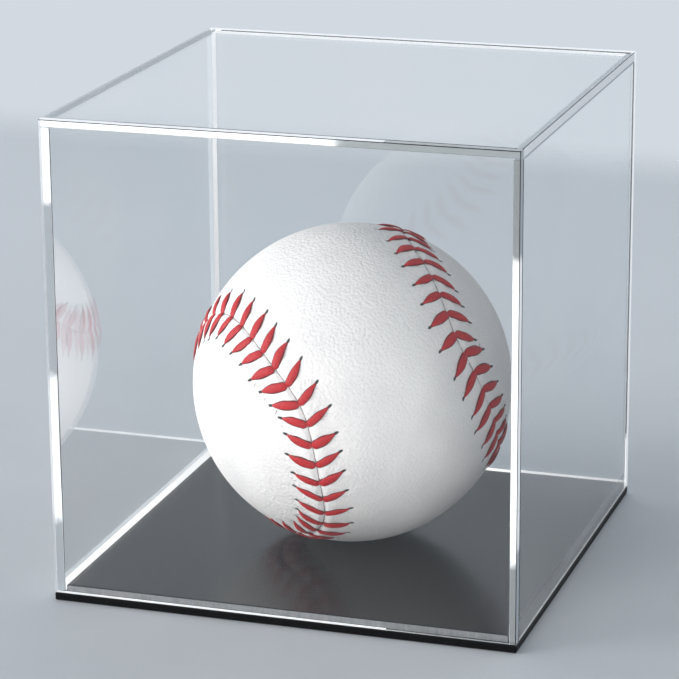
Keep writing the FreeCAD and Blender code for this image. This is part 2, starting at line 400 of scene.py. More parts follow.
# %% Painted highlights in the joints
FRONT_WANDER = 5.0        # how far the milk's front strays, in mm
FRONT_SOFT = 1.5          # half the length over which it fades, in mm
SIDE_SOFT = 0.08          # the same across the joint
# painted glow of the joints' white stretches
HIGHLIGHT_GLOW = 0.15


def stretch(material, place, start, end, soft):
    """1 between two places, 0 outside them, with soft ends."""
    rise = between(material, place, start - soft, start + soft)
    fall = between(material, place, end - soft, end + soft, 1, 0)
    return maths(material, "MULTIPLY", rise, fall)


def painted_light_joint(name, axis, stretches, across=(0, 60), rest=None):
    """A joint with white stretches: painted highlights drawn as milky cement, with a painted glow.

    `axis` is the coordinate that runs along the joint, and each stretch is a
    pair of places on it in mm. The white ends in an uneven, soft front, and
    covers only the part of the joint's width named by `across`, as places
    out from the middle of the case. The rest of the joint is wetted clear,
    or has the even grey of the colour `rest`, painted shade set joint by joint.
    """
    material = new_material(name)
    where = place_on(material)
    wander = noise(material, where, 0.35, 3)
    parts = split(material, where)
    shift = maths(material, "MULTIPLY_ADD", wander, FRONT_WANDER, -FRONT_WANDER / 2)
    place = maths(material, "ADD", parts[axis], shift)
    highlight = 0.0
    for start, end in stretches:
        white = stretch(material, place, start, end, FRONT_SOFT)
        highlight = maths(material, "MAXIMUM", highlight, white)
    out = maths(material, "ABSOLUTE", parts["X"])
    covered = stretch(material, out, *across, SIDE_SOFT)
    highlight = maths(material, "MULTIPLY", highlight, covered)
    tint = ramp(material, wander, (0.3, "#F2F5F7"), (0.7, WHITE))
    if rest:
        tint = mix(material, highlight, rest, tint)
    hidden = covered if rest else highlight
    return surface(material, Base_Color=tint, Roughness=0.6, IOR=MATCHED_IOR,
                   Transmission_Weight=maths(material, "SUBTRACT", 1.0, hidden),
                   Emission_Color=linear(WHITE),
                   Emission_Strength=maths(material, "MULTIPLY", highlight, HIGHLIGHT_GLOW))


# %% [markdown]
# ## The clear sheets' finishes
# All finishes are made once here, and used by every panel. The end of the
# front panel is painted with the white of the joint behind it, a painted
# highlight that stands in for the joint seen through the end.

# %% The clear sheets' finishes
CLEAR = clear_acrylic()
# The frosted, buffed, foot and rear finishes glow: a painted glow, as none is a lamp.
FROSTED = frosted_acrylic("sawn_clear_acrylic_edge", "#F4F8FA", WHITE, 0.25)
BUFFED = frosted_acrylic("buffed_clear_acrylic_edge", "#CCD1D6", "#DFE3E7", 0.14)
# painted highlight: a white band on the left and back walls' feet, with a painted glow
FOOT_GLOW = frosted_acrylic("painted_highlight_foot_band", "#F4F8FA", WHITE, 0.7)
# painted reflection: an opaque dark strip on some arrises of the uprights and the lid
DARK_ARRIS = painted_dark_arris()
RUBBED = rubbed_foot()
JOINT = wetted_joint()
# The joints' white stretches are painted highlights, and each `rest` grey is painted shade, set
# joint by joint.
JOINT_HIGHLIGHT_LEFT = painted_light_joint("cemented_joint_left", "Z", [(19, 52), (92, 120)],
                        (51.62, 60), "#A9AEB3")
JOINT_HIGHLIGHT_RIGHT = painted_light_joint("cemented_joint_right", "Z", [(20, 87)], (50, 53.15), "#8F9293")
# painted highlight: the front panel's right end is painted with the white of the joint seen through
# it
END_RIGHT = painted_light_joint("painted_highlight_end_right", "Z", [(23, 88)], rest="#BCC2C7")
JOINT_HIGHLIGHT_TOP = painted_light_joint("cemented_joint_top", "X", [(-60, 13)], rest="#A4A9AB")
# painted highlight: a glowing white strip along the rear joints
REAR_GLOW = frosted_acrylic("painted_highlight_rear_strip", "#F4F8FA", WHITE, 0.42)
GREY_SHADE = painted_light_joint("hazy_joint", "Z", [], rest="#C3C9CF")
FINISHES = [CLEAR, FROSTED, BUFFED, FOOT_GLOW, RUBBED, DARK_ARRIS, JOINT, GREY_SHADE,
            JOINT_HIGHLIGHT_LEFT, JOINT_HIGHLIGHT_RIGHT, JOINT_HIGHLIGHT_TOP, END_RIGHT, REAR_GLOW]
print("finishes:", [material.name for material in FINISHES])

# %% [markdown]
# ## Cutting a sheet
# Each panel is a cube brought to the size of its sheet and moved to its
# place, with its edges just broken by a bevel. Cutting lines drawn round it
# part its faces, so that each stretch can have a finish of its own.

# %% Cutting a sheet
ARRIS = 0.25 * MM         # broken edge of a polished sheet
ARRIS_STEPS = 2


def deselect():
    """Nothing selected, because an operator acts on all that is."""
    for item in bpy.context.selected_objects:
        item.select_set(False)


def apply_modifier(piece, kind, **settings):
    """Put a modifier on a piece and apply it, as by hand."""
    modifier = piece.modifiers.new(kind.lower(), kind)
    for name, value in settings.items():
        setattr(modifier, name, value)
    deselect()
    piece.select_set(True)
    bpy.context.view_layer.objects.active = piece
    bpy.ops.object.modifier_apply(modifier=modifier.name)


def settle(piece):
    """Leave the object at the origin, with its place in its mesh."""
    deselect()
    piece.select_set(True)
    bpy.context.view_layer.objects.active = piece
    bpy.ops.object.transform_apply(location=True, rotation=True, scale=True)


def cut(piece, axis, place):
    """Cut a piece's faces along a plane, which leaves the shell whole."""
    point, normal = [0, 0, 0], [0, 0, 0]
    point[axis], normal[axis] = place, 1
    deselect()
    bpy.context.view_layer.objects.active = piece
    piece.select_set(True)
    bpy.ops.object.mode_set(mode="EDIT")
    bpy.ops.mesh.select_all(action="SELECT")
    bpy.ops.mesh.bisect(plane_co=point, plane_no=normal)
    bpy.ops.object.mode_set(mode="OBJECT")


def sheet_of(name, low, high):
    """A sheet between two corners, with its edges broken."""
    deselect()
    bpy.ops.mesh.primitive_cube_add(size=1, location=(low + high) / 2, scale=high - low)
    piece = bpy.context.object
    piece.name = name
    settle(piece)
    apply_modifier(piece, "BEVEL", width=ARRIS, segments=ARRIS_STEPS, limit_method="ANGLE")
    return piece


def dress(piece, materials, choose):
    """Give a piece its materials, and each face the one that `choose` says."""
    piece.data.materials.clear()
    for material in materials:
        piece.data.materials.append(material)
    for face in piece.data.polygons:
        face.material_index = materials.index(choose(face))


# %% [markdown]
# ## Which face has which finish
# A face is known by the way it looks and by its place. The outside and inside
# of a sheet are clear; its edges, its joints and the foot that slides over
# the plinth are not. One arris of each upright is painted dark, a painted
# reflection.

# %% Which face has which finish
side_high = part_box("left_panel")[1]
lid_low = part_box("top_panel")[0]
INNER_X = abs(side_high.x)          # the side walls' inner faces
INNER_Y = abs(lid_low.y)            # the front and back walls' inner faces
LID_Z = lid_low.z                   # the top sheet's underside
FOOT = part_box("plinth_plate")[1].z  # the height of the plinth inside
FOOT_LEFT, FOOT_BACK, FOOT_RIGHT = FOOT + 1.4 * MM, FOOT + 0.45 * MM, FOOT + 2.6 * MM
SAWN_TO = 24 * MM                   # the front sheet's edges are polished from here on
REAR_GLOW_FROM = INNER_Y - 3.2 * MM      # a painted highlight strip runs this far inside the rear joints
SQUARE, SLOPING = 0.9, 0.3          # a face that looks along an axis, or partly along it


def finish_front(face):
    """Finishes of the front panel: its edges are sawn, and polished to the right."""
    middle, normal = face.center, face.normal
    if abs(normal.z) > SQUARE:
        return FROSTED if middle.x < SAWN_TO else CLEAR
    if abs(normal.x) > SQUARE:
        return END_RIGHT if normal.x > 0 else BUFFED
    if normal.y < -SLOPING and max(normal.x, normal.z) > SLOPING:
        return DARK_ARRIS
    if normal.y > SQUARE and (abs(middle.x) > INNER_X or middle.z > LID_Z):
        return JOINT
    return CLEAR


def finish_back(face):
    """Finishes of the back panel: its edges are sawn and its foot carries a painted highlight band.
    """
    middle, normal = face.center, face.normal
    if abs(normal.z) > SQUARE:
        return FROSTED
    if abs(normal.x) > SQUARE:
        return FROSTED if normal.x > 0 else BUFFED
    on_inner_face = normal.y < -SQUARE and max(normal.x, normal.z) < SLOPING
    if on_inner_face:
        if abs(middle.x) > INNER_X or middle.z > LID_Z:
            return JOINT
        if middle.z < FOOT_BACK:
            return FOOT_GLOW
    return CLEAR


def finish_side(foot, foot_finish, front_highlight):
    """Finishes of a side wall, whose ends are the upright joints."""
    def choose(face):
        middle, normal = face.center, face.normal
        if normal.z < -SQUARE:
            return FROSTED
        if abs(normal.y) > SQUARE:
            return front_highlight if normal.y < 0 else JOINT
        if normal.z > SQUARE or (normal.z > SLOPING and abs(normal.x) > SLOPING):
            return GREY_SHADE
        if abs(normal.y) > SLOPING and normal.x > SLOPING:
            return DARK_ARRIS
        if normal.x * middle.x < 0 and abs(normal.x) > SQUARE:
            if middle.z < foot:
                return foot_finish
            if middle.y > REAR_GLOW_FROM and middle.x < 0:
                return REAR_GLOW
        return CLEAR
    return choose


def finish_lid(face):
    """Finishes of the top sheet, whose ends are buffed."""
    middle, normal = face.center, face.normal
    if abs(normal.y) > SQUARE:
        return JOINT_HIGHLIGHT_TOP if normal.y < 0 else JOINT
    if abs(normal.x) > SQUARE or (normal.z < -SLOPING and abs(normal.x) > SLOPING):
        return BUFFED
    if normal.z < -SQUARE and abs(middle.x) > INNER_X:
        return JOINT
    if normal.z < -SQUARE and middle.y > REAR_GLOW_FROM:
        return REAR_GLOW
    if abs(normal.x) > SLOPING and normal.z > SLOPING:
        return DARK_ARRIS
    return CLEAR


print("plinth top at", round(FOOT / MM, 2), "mm, lid's underside at", round(LID_Z / MM, 2), "mm")

# %% [markdown]
# ## The five panels
# The front and back panels are full size; the sides fit between them, and the
# top lies over the sides. The sheets are kept a hair apart at their joints,
# because two clear faces in one plane would make the light flicker between
# them.

# %% The five panels
FILM = 0.04 * MM          # the cement between two sheets
NO_FILM, FILM_AWAY, FILM_UP = (0, 0, 0), (0, FILM, 0), (0, 0, FILM)


def panel(node, film_low, film_high, cuts, choose, shades=False):
    """The visible sheet for a measured panel, held back by its joints' films.

    `film_low` and `film_high` say how far its lowest and its highest corner
    stay inside the measured ones. The sheets away from the lamps shade the
    floor; those between the lamps and the ball would put it in the dark, so
    they cast no shadow.
    """
    low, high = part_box(node)
    piece = sheet_of(f"{node}_sheet", low + Vector(film_low), high - Vector(film_high))
    for axis, place in cuts:
        cut(piece, axis, place)
    dress(piece, FINISHES, choose)
    piece.visible_shadow = shades
    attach(piece, "cover")
    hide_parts(node)
    return piece


ACROSS, AWAY, UP = 0, 1, 2
joint_cuts = [(ACROSS, -INNER_X), (ACROSS, INNER_X)]
wall_cuts = joint_cuts + [(UP, LID_Z)]
panels = [
    panel("front_panel", FILM_UP, FILM_AWAY, wall_cuts + [(ACROSS, SAWN_TO)], finish_front),
    panel("back_panel", (0, FILM, FILM), NO_FILM, wall_cuts + [(UP, FOOT_BACK)],
          finish_back, shades=True),
    panel("left_panel", FILM_UP, FILM_UP, [(UP, FOOT_LEFT), (AWAY, REAR_GLOW_FROM)],
          finish_side(FOOT_LEFT, FOOT_GLOW, JOINT_HIGHLIGHT_LEFT)),
    panel("right_panel", FILM_UP, FILM_UP, [(UP, FOOT_RIGHT)],
          finish_side(FOOT_RIGHT, RUBBED, JOINT_HIGHLIGHT_RIGHT), shades=True),
    panel("top_panel", NO_FILM, NO_FILM, joint_cuts + [(AWAY, REAR_GLOW_FROM)], finish_lid),
]
print("panels:", [piece.name for piece in panels])

# %% [markdown]
# ## Black acrylic
# The base and the plinth are cut from black cast sheet. The faces keep the
# polish of the casting and mirror what stands on them. The base's edges are
# scraped to a dull deep black, but the plinth's were left as the saw made
# them, which turns black acrylic to a matt grey.

# %% Black acrylic materials


def black_acrylic():
    """Polished black cast acrylic, with a trace of dust."""
    material = new_material("cast_black_acrylic_polished")
    dust = noise(material, place_on(material), 0.9, 6, 0.7)
    return surface(material, Base_Color=ramp(material, dust, (0.4, "#101011"), (0.8, "#171718")),
                   Roughness=between(material, dust, 0.4, 0.75, 0.2, 0.25),
                   IOR=ACRYLIC_IOR, Specular_IOR_Level=0.36)


def black_acrylic_edge():
    """The base's own edge: sawn, then scraped to a dull deep black."""
    material = new_material("scraped_black_acrylic_edge")
    lines, normal = saw_marks(material, (3, 3, 0.3), 0.02 * MM)
    colour = ramp(material, lines, (0.3, "#0E0E0F"), (0.7, "#161617"))
    return surface(material, Base_Color=colour, Roughness=0.45, IOR=ACRYLIC_IOR,
                   Specular_IOR_Level=0.12, Normal=normal)


def sawn_black_acrylic():
    """Black acrylic as the saw leaves it: matt and grey, with blade lines."""
    material = new_material("sawn_black_acrylic_edge")
    lines, normal = saw_marks(material, (1.5, 1.5, 0.3), 0.04 * MM)
    colour = ramp(material, lines, (0.3, "#6E6F71"), (0.7, "#858688"))
    return surface(material, Base_Color=colour, Roughness=0.6, IOR=ACRYLIC_IOR, Normal=normal)


BLACK = black_acrylic()
BLACK_EDGE = black_acrylic_edge()
BLACK_SAWN = sawn_black_acrylic()


def black_with(edge):
    """Polished above and below, with another finish on the sides."""
    return lambda face: edge if abs(face.normal.z) < 0.5 else BLACK


dress(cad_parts["base_plate"], [BLACK, BLACK_EDGE], black_with(BLACK_EDGE))
dress(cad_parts["plinth_plate"], [BLACK, BLACK_SAWN], black_with(BLACK_SAWN))
print("base and plinth in", BLACK.name)

# %% [markdown]
# ## The seam
# The ball's two leathers are the same figure-eight shape, and meet in one
# closed line that goes round the ball once while it swings up and down
# twice. The line is a short formula, so everything that follows the seam is
# worked out from it: where the leather ends, where it is drawn up, and where
# each stitch lies.

# %% Seam line
BALL_RADIUS = 36.9 * MM
ball_low, ball_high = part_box("ball_winding_cotton")
BALL_CENTRE = (ball_low + ball_high) / 2
BALL_TURN = (Matrix.Rotation(math.radians(166.6), 3, "Z")
             @ Matrix.Rotation(math.radians(-61.6), 3, "Y")
             @ Matrix.Rotation(math.radians(136.9), 3, "X"))
SEAM_MARGIN, SEAM_SWING, SEAM_THIRD = 0.555, 0.383, 0.083
SEAM_STEPS = 6000
STITCHES = 77


def seam_points():
    """Unit directions along the seam, in the case's own frame."""
    turns = np.linspace(0, 4 * math.pi, SEAM_STEPS, endpoint=False)
    swing_up = math.pi / 2 - SEAM_MARGIN - SEAM_THIRD
    polar = math.pi / 2 - swing_up * np.cos(turns) - SEAM_THIRD * np.cos(3 * turns)
    around = turns / 2 + SEAM_SWING * np.sin(2 * turns)
    points = np.stack([np.sin(polar) * np.cos(around),
                       np.sin(polar) * np.sin(around), np.cos(polar)], axis=1)
    return points @ np.array(BALL_TURN).T


seam = seam_points() * BALL_RADIUS
seam_next = np.roll(seam, -1, axis=0)
seam_chords = np.linalg.norm(seam_next - seam, axis=1)
seam_lengths = np.concatenate([[0], np.cumsum(seam_chords)[:-1]])
SEAM_LENGTH = seam_chords.sum()
PITCH = SEAM_LENGTH / STITCHES
seam_along = seam_next - np.roll(seam, 1, axis=0)
seam_along /= np.linalg.norm(seam_along, axis=1)[:, None]
seam_across = np.cross(seam / BALL_RADIUS, seam_along)
seam_across /= np.linalg.norm(seam_across, axis=1)[:, None]

print("seam length in mm:", round(SEAM_LENGTH / MM, 1), "pitch:", round(PITCH / MM, 2))

# %% [markdown]
# ## Places measured from the seam
# The stitches and the relief of the leather follow the seam, so they need to
# know how far along it and how far across it a point lies. A lookup tree of
# the line's points answers that quickly for every corner of the ball.

# %% Places measured from the seam


def read_points(piece):
    """A mesh's corners as an array."""
    points = np.zeros(len(piece.data.vertices) * 3)
    piece.data.vertices.foreach_get("co", points)
    return points.reshape(-1, 3)


def write_points(piece, points):
    """Move a mesh's corners."""
    piece.data.vertices.foreach_set("co", np.asarray(points, dtype=np.float32).ravel())
    piece.data.update()


def tree_of(points):
    """A tree that quickly finds the nearest of many points."""
    tree = kdtree.KDTree(len(points))
    for number, point in enumerate(points):
        tree.insert(point, number)
    tree.balance()
    return tree


def from_seam(points):
    """For points on the ball about its own middle: along and across the seam."""
    nearest = np.array([seam_tree.find(point)[1] for point in points])
    offset = points - seam[nearest]
    along = seam_lengths[nearest] + (offset * seam_along[nearest]).sum(1)
    across = (offset * seam_across[nearest]).sum(1)
    return along, across, nearest


def on_ball(points, radius=BALL_RADIUS):
    """The same directions, brought to a radius."""
    return points / np.linalg.norm(points, axis=1)[:, None] * radius


seam_tree = tree_of(seam)
print("the seam is looked up among", len(seam), "points")

# %% [markdown]
# ## Stitches: where each leg lies
# A stitch is a V whose point lies on the seam and whose two legs run out
# over the leather into a needle hole each. They were pulled by hand, so each
# leg's length, slant and width differ a little. The list of legs is made
# first, because the leather is drawn down under each leg and into each hole.

# %% Stitch legs
SLANT = math.radians(66)
SLANT_SPREAD = math.radians(3.0)
LEG_LENGTH = 6.4 * MM
BOW_SPREAD = 0.14 * MM
HOLE_BEYOND = 0.35 * MM   # the hole's middle is just past the leg's end
random.seed(11)


def leg_list():
    """Each leg's point on the seam, its way out, its length and its width."""
    legs = []
    for stitch in range(STITCHES):
        place = np.searchsorted(seam_lengths, stitch * PITCH) % SEAM_STEPS
        up = seam[place] / BALL_RADIUS
        for side in (-1, 1):
            slant = SLANT + random.gauss(0, SLANT_SPREAD)
            out = (seam_along[place] * math.cos(slant)
                   + seam_across[place] * side * math.sin(slant))
            legs.append({"up": up, "out": out,
                         "length": LEG_LENGTH * random.uniform(0.93, 1.05),
                         "width": random.uniform(0.88, 1.12),
                         "bow": random.gauss(0, BOW_SPREAD)})
    return legs


def along_leg(leg, distance):
    """The point on the ball at a distance from the V's point along a leg."""
    bend = distance / BALL_RADIUS
    return (leg["up"] * math.cos(bend) + leg["out"] * math.sin(bend)) * BALL_RADIUS


legs = leg_list()
hole_places = np.array([along_leg(leg, leg["length"] + HOLE_BEYOND) for leg in legs])
hole_tree = tree_of(hole_places)
print("legs:", len(legs))

# %% [markdown]
# ## The leather
# An even ball of triangles is the best start, because it has no poles. It is
# made finer along the seam, the corners nearest the seam are moved onto it,
# and the ball falls apart there into the two leathers. Near the seam each
# leather swells into a low welt, turns in at its edge, is drawn down under
# every thread, and dips at every needle hole. Each leather is then given its
# thickness, with the flesh side lying on the winding.

# %% Leather ball, finer along the seam
BAND = 7.6 * MM           # the strip along the seam that is made finer


def leather_ball():
    """A closed ball of small triangles, finer within BAND of the seam."""
    deselect()
    bpy.ops.mesh.primitive_ico_sphere_add(subdivisions=6, radius=BALL_RADIUS)
    ball = bpy.context.object
    ball.name = "leather_ball"
    across = from_seam(read_points(ball))[1]
    bpy.ops.object.mode_set(mode="EDIT")
    bpy.ops.mesh.select_all(action="DESELECT")
    bpy.ops.object.mode_set(mode="OBJECT")
    for face in ball.data.polygons:
        face.select = all(abs(across[corner]) < BAND for corner in face.vertices)
    bpy.ops.object.mode_set(mode="EDIT")
    bpy.ops.mesh.subdivide(number_cuts=1)
    bpy.ops.mesh.select_all(action="SELECT")
    bpy.ops.mesh.quads_convert_to_tris()
    bpy.ops.object.mode_set(mode="OBJECT")
    write_points(ball, on_ball(read_points(ball)))
    return ball


ball = leather_ball()
print("leather ball:", len(ball.data.polygons), "triangles")

# %% [markdown]
# ## Bring the mesh to the seam
# The two leathers will be parted along the seam, and a cut that zigzags from
# corner to corner would show. So the corners nearest the seam are first slid
# onto it, which could also be done by hand with a shrinkwrap to a curve.

# %% Bring the mesh to the seam


def meet_seam(piece):
    """Move the nearer corner of every edge that crosses the seam onto it."""
    points = read_points(piece)
    _, across, nearest = from_seam(points)
    edges = np.zeros(len(piece.data.edges) * 2, dtype=int)
    piece.data.edges.foreach_get("vertices", edges)
    edges = edges.reshape(-1, 2)
    for first, second in edges[across[edges[:, 0]] * across[edges[:, 1]] < 0]:
        if across[first] * across[second] < 0:
            moved = first if abs(across[first]) < abs(across[second]) else second
            points[moved] -= seam_across[nearest[moved]] * across[moved]
            across[moved] = 0.0
    write_points(piece, on_ball(points))
    return across


ball_across = meet_seam(ball)
print("corners on the seam:", int((ball_across == 0).sum()))

# %% [markdown]
# ## Shape the leather
# The stitches pull the two edges down and together, the leather swells into
# a low welt beside them, and each hole sits in its own small dip. Each of
# these is a height over the ball, worked out from the place by the seam.

# %% Shape the leather
WELT_HEIGHT, WELT_PLACE, WELT_WIDTH = 0.26 * MM, 1.5 * MM, 1.5 * MM
EDGE_DROP, EDGE_ROUND = 0.5 * MM, 0.26 * MM
PUCKER_DEPTH, PUCKER_REACH = 0.13 * MM, 4.6 * MM
PUCKER_FROM = 0.8 * MM
HOLE_DIP, HOLE_REACH = 0.4 * MM, 0.55 * MM


def leather_relief(along, across, points):
    """How far the leather stands above or below the plain ball, in metres."""
    away = np.abs(across)
    welt = WELT_HEIGHT * np.exp(-((away - WELT_PLACE) / WELT_WIDTH) ** 2)
    edge = -EDGE_DROP * np.exp(-(away / EDGE_ROUND) ** 2)
    thread_phase = (along - away / math.tan(SLANT)) / PITCH * 2 * math.pi
    fade = np.exp(-(away / PUCKER_REACH) ** 2) * np.clip(away / PUCKER_FROM, 0, 1)
    pucker = -PUCKER_DEPTH * np.cos(thread_phase) * fade
    hole_distance = np.array([hole_tree.find(point)[2] for point in points])
    dip = -HOLE_DIP * np.exp(-(hole_distance / HOLE_REACH) ** 2)
    return welt + edge + pucker + dip


smooth_points = read_points(ball)
ball_along = from_seam(smooth_points)[0]
relief = leather_relief(ball_along, ball_across, smooth_points)
write_points(ball, on_ball(smooth_points, (BALL_RADIUS + relief)[:, None]))
print("relief in mm:", round(relief.min() / MM, 2), "to", round(relief.max() / MM, 2))

# %% [markdown]
# ## Marks for the material
# The material also needs to know where the seam and the holes are, to paint
# shade along the seam and in the pricked holes. The places are stored on the
# mesh as attributes, so the colours stay put wherever the ball is moved.

# %% Marks for the material
HOLE_REACHED = 1.8 * MM   # corners farther than this from every hole
FAR = 9.0                 # are given this place, in mm


def mark_leather(piece, along, across, points):
    """Store, in mm, each corner's place from the seam and from its hole."""
    seam_mark = piece.data.attributes.new("from_seam", "FLOAT_VECTOR", "POINT")
    values = np.stack([along / MM, across / MM, np.zeros(len(along))], axis=1)
    seam_mark.data.foreach_set("vector", values.astype(np.float32).ravel())
    hole_mark = piece.data.attributes.new("from_hole", "FLOAT_VECTOR", "POINT")
    values = np.full((len(points), 3), FAR)
    for number, point in enumerate(points):
        _, found, distance = hole_tree.find(point)
        if distance < HOLE_REACHED:
            leg = legs[found]
            offset = point - hole_places[found]
            sideways = np.cross(leg["up"], leg["out"])
            values[number] = (offset @ leg["out"] / MM, offset @ sideways / MM, 0)
    hole_mark.data.foreach_set("vector", values.astype(np.float32).ravel())


mark_leather(ball, ball_along, ball_across, smooth_points)
print("marks:", [item.name for item in ball.data.attributes if item.name.startswith("from_")])

# %% [markdown]
# ## White leather
# The covers are alum-tanned cowhide: white, nearly matt, with a pebbled
# grain about two thirds of a millimetre across. Cells give the pebbles and a
# finer noise the pores, both as bumps, since they are far too small to model.

# %% Leather material
SEAM_SHADE_FADE = 0.03, 0.16     # where the painted shade along the seam begins and ends to fade, in mm
HOLE_STRETCH = (1.25, 2.9, 0)    # the pricked holes are slits that lie along their leg


def white_leather():
    """Alum-tanned cowhide: white, pebbled, with a soft low shine."""
    material = new_material("alum_tanned_white_leather")
    where = place_on(material)
    blotches = noise(material, where, 0.09, 4)
    pebbles = add_node(material, "ShaderNodeTexVoronoi", {"feature": "SMOOTH_F1"},
                       Vector=where, Scale=1.4, Smoothness=0.4, Randomness=1.0)
    pores = maths(material, "MULTIPLY", noise(material, where, 2.6, 3), 0.35)
    grain = maths(material, "ADD", pebbles.outputs["Distance"], pores)
    hide = ramp(material, blotches, (0.3, "#E3E0DF"), (0.7, "#EEEBE9"))
    # painted shade: the leather darkens within a fraction of a millimetre of the seam
    across = split(material, mark_on(material, "from_seam"))["Y"]
    edge = between(material, maths(material, "ABSOLUTE", across), *SEAM_SHADE_FADE, 1, 0)
    seam_shaded = mix(material, edge, hide, "#8B837C")
    # painted shade: each pricked hole is darkened as a slit along its leg
    hole = vector_maths(material, "MULTIPLY", mark_on(material, "from_hole"), HOLE_STRETCH)
    size = vector_maths(material, "LENGTH", hole.outputs["Vector"]).outputs["Value"]
    dark = between(material, size, 0.75, 1.15, 1, 0)
    return surface(material, Base_Color=mix(material, dark, seam_shaded, "#26201D"),
                   Roughness=between(material, blotches, 0.3, 0.7, 0.5, 0.6),
                   Specular_IOR_Level=0.35,
                   Normal=bump(material, grain, 1.0, 0.15 * MM, inverted=True))


LEATHER = white_leather()
print("leather:", LEATHER.name)

# %% [markdown]
# ## Part the two leathers
# A real cover is two equal figure-eight pieces. The ball is copied, and from
# each copy the faces on the wrong side of the seam are deleted. What is left
# is a skin, so a Solidify modifier gives it a wall and closes its border,
# and the inside of that wall is then brought down onto the winding.

# %% Part the two leathers
FLESH_RADIUS = 35.68 * MM
WALL_AT_FIRST = 1.0 * MM  # before the flesh side is laid on the winding
CREASE = math.radians(50)
SAMPLE_STEP = 7           # every seventh corner is enough to tell a leather's side


def part_leather(name, side, node):
    """Keep one side of the seam and give it thickness, down to the winding."""
    piece = ball.copy()
    piece.data = ball.data.copy()
    piece.name = name
    bpy.context.scene.collection.objects.link(piece)
    deselect()
    piece.select_set(True)
    bpy.context.view_layer.objects.active = piece
    bpy.ops.object.mode_set(mode="EDIT")
    bpy.ops.mesh.select_mode(type="FACE")
    bpy.ops.mesh.select_all(action="DESELECT")
    bpy.ops.object.mode_set(mode="OBJECT")
    for face in piece.data.polygons:
        face.select = sum(ball_across[corner] for corner in face.vertices) * side < 0
    bpy.ops.object.mode_set(mode="EDIT")
    bpy.ops.mesh.delete(type="FACE")
    bpy.ops.object.mode_set(mode="OBJECT")
    outside = len(piece.data.vertices)
    apply_modifier(piece, "SOLIDIFY", thickness=WALL_AT_FIRST, offset=-1)
    points = read_points(piece)
    points[outside:] = on_ball(points[outside:], FLESH_RADIUS)
    write_points(piece, points + np.array(BALL_CENTRE))
    bpy.ops.object.shade_smooth_by_angle(angle=CREASE)
    piece.data.materials.append(LEATHER)
    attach(piece, "ball")
    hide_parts(node)
    return piece


def box_side(node):
    """Which side of the seam a measured leather is on, by its corners."""
    points = read_points(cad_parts[node]) - np.array(BALL_CENTRE)
    sample = points[::SAMPLE_STEP]
    return 1 if from_seam(sample)[1].mean() > 0 else -1


covers = [part_leather(f"{node}_leather", box_side(node), node)
          for node in ("ball_cover_a", "ball_cover_b")]
bpy.data.objects.remove(ball)
print("leathers:", [(piece.name, len(piece.data.polygons)) for piece in covers])

# %% [markdown]
# ## One leg of a stitch
# Pulled tight, the thread lies like a seed: nearly full where the two legs
# meet, fullest before the middle, and pointed where it dives into its hole.
# One leg is drawn out of a circle by extruding it ring by ring. There are
# more than a hundred legs, so it has only as many faces as its outline needs.

# %% One leg of thread
LEG_RINGS = 10
LEG_SIDES = 8
LEG_HALF_WIDTH = 1.1 * MM
LEG_HEIGHT = 0.8 * MM
ROOT_WIDTH, SWELL_TO = 0.84, 0.8            # widths and places are shares of the full
TAPER_LOSS, TAPER_FROM, TAPER_POWER = 0.86, 0.5, 1.6
ROUND_TO, ROUND_LEAST = 0.1, 0.3


def leg_profile(share):
    """A leg's width at a share of its length, from the V's point outward.

    It leaves the seam almost full, swells, and is drawn thin into its hole.
    """
    swell = ROOT_WIDTH + (1 - ROOT_WIDTH) * math.sin(math.pi * min(1, share / SWELL_TO))
    thinned = max(0, (share - TAPER_FROM) / (1 - TAPER_FROM)) ** TAPER_POWER
    rounded = math.sqrt(1 - (1 - min(1, share / ROUND_TO)) ** 2)
    return swell * (1 - TAPER_LOSS * thinned) * max(ROUND_LEAST, rounded)


def thread_leg():
    """One straight leg along X, from 0 to 1, with its end faces closed."""
    deselect()
    bpy.ops.mesh.primitive_circle_add(vertices=LEG_SIDES, radius=1, fill_type="NGON",
                                      rotation=(0, math.radians(90), 0))
    piece = bpy.context.object
    piece.name = "thread_leg"
    settle(piece)
    bpy.ops.object.mode_set(mode="EDIT")
    bpy.ops.mesh.select_all(action="SELECT")
    for _ in range(LEG_RINGS):
        bpy.ops.mesh.extrude_region_move(
            TRANSFORM_OT_translate={"value": (1 / LEG_RINGS, 0, 0)})
    bpy.ops.mesh.select_all(action="SELECT")
    bpy.ops.mesh.normals_make_consistent(inside=False)
    bpy.ops.object.mode_set(mode="OBJECT")
    return piece


leg_template = thread_leg()
print("one leg:", len(leg_template.data.polygons), "faces")

# %% [markdown]
# ## Red thread
# The thread is waxed cotton, red and twisted from a few plies. The twist is
# drawn as a slanted wave along each leg, each leg is darker along its two
# edges, and the end that goes down its hole is in painted shade.

# %% Thread material
ROUND_MM = 0.8            # a leg's marks unroll it as if its radius were this, in mm
PLY_MM, PLY_SLANT = 1.1, 0.9     # a ply's length along the leg, and how it slants


